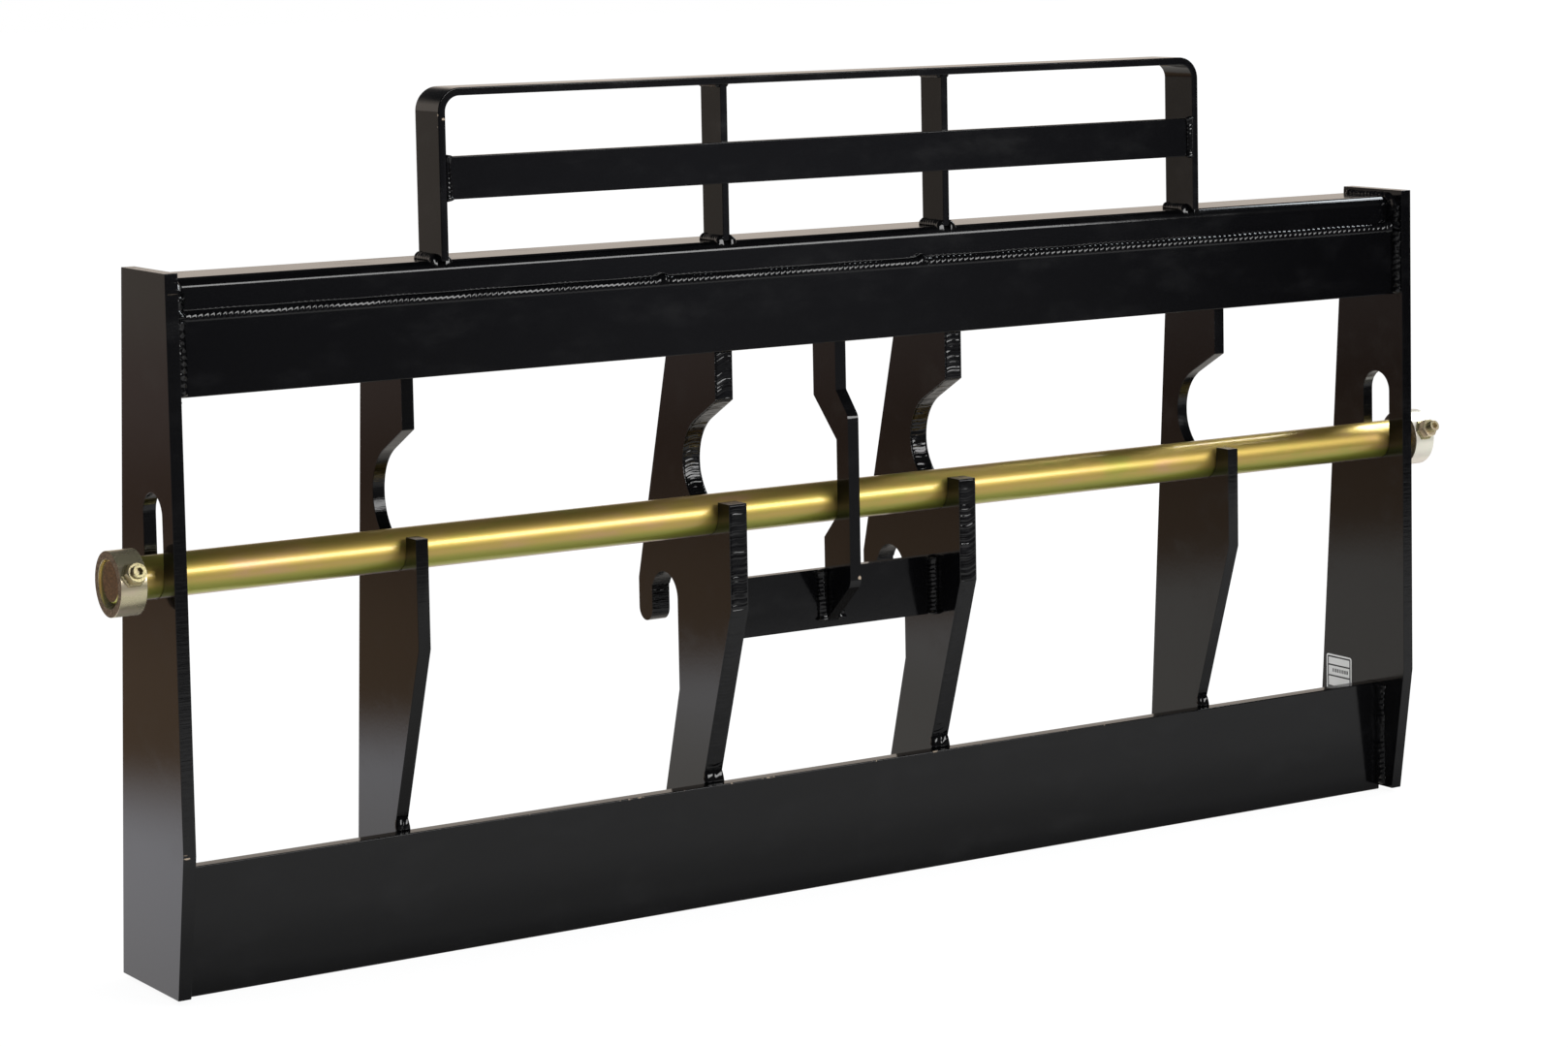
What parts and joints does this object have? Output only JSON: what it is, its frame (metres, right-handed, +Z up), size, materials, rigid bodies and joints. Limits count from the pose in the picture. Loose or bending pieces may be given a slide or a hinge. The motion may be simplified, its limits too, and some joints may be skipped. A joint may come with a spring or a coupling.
{
  "type": "telehandler fork carriage",
  "caption": "Welded fork carriage with a floating fork shaft, hooked mounting plates, a lower rail, a box beam and a bent load guard on top.",
  "frame": {"origin": "on the ground under the fork shaft's axis, at mid width, on the bottom face of the lower rail", "axes": "+X along the width, to the right as seen from the load side; +Y back to the machine; +Z up"},
  "size_m": [1.9414, 0.2331, 1.0355],
  "materials": {
    "black_paint": "gloss",
    "weld_paint": "gloss",
    "yellow_zinc": "yellow zinc plating, satin",
    "pale_zinc": "pale yellow zinc plating, satin"
  },
  "bodies": {
    "carriage": {"end_plate_left": "black_paint", "end_plate_right": "black_paint", "outer_plate_left": "black_paint", "outer_plate_right": "black_paint", "inner_plate_left": "black_paint", "inner_plate_right": "black_paint", "shaft_retainer": "black_paint", "cross_bar": "black_paint", "top_tube": "black_paint", "face_plate": "black_paint", "lower_rail": "black_paint", "guard_frame": "black_paint", "guard_upright_left": "black_paint", "guard_upright_right": "black_paint", "guard_rung": "black_paint", "face_plate_weld": "weld_paint", "beam_end_welds": "weld_paint", "rail_end_welds": "weld_paint", "foot_welds": "weld_paint", "cross_bar_welds": "weld_paint", "guard_welds": "weld_paint"},
    "floating_shaft": {"fork_shaft": "yellow_zinc", "collar_left": "pale_zinc", "collar_right": "pale_zinc", "collar_nut_left": "pale_zinc", "collar_nut_right": "pale_zinc", "set_screw_left": "pale_zinc", "set_screw_right": "pale_zinc"}
  },
  "joints": [
    {"name": "shaft_float", "type": "slide", "parent": "carriage", "child": "floating_shaft", "axis": [0, 0, 1], "range_m": [0, 0.07]}
  ]
}
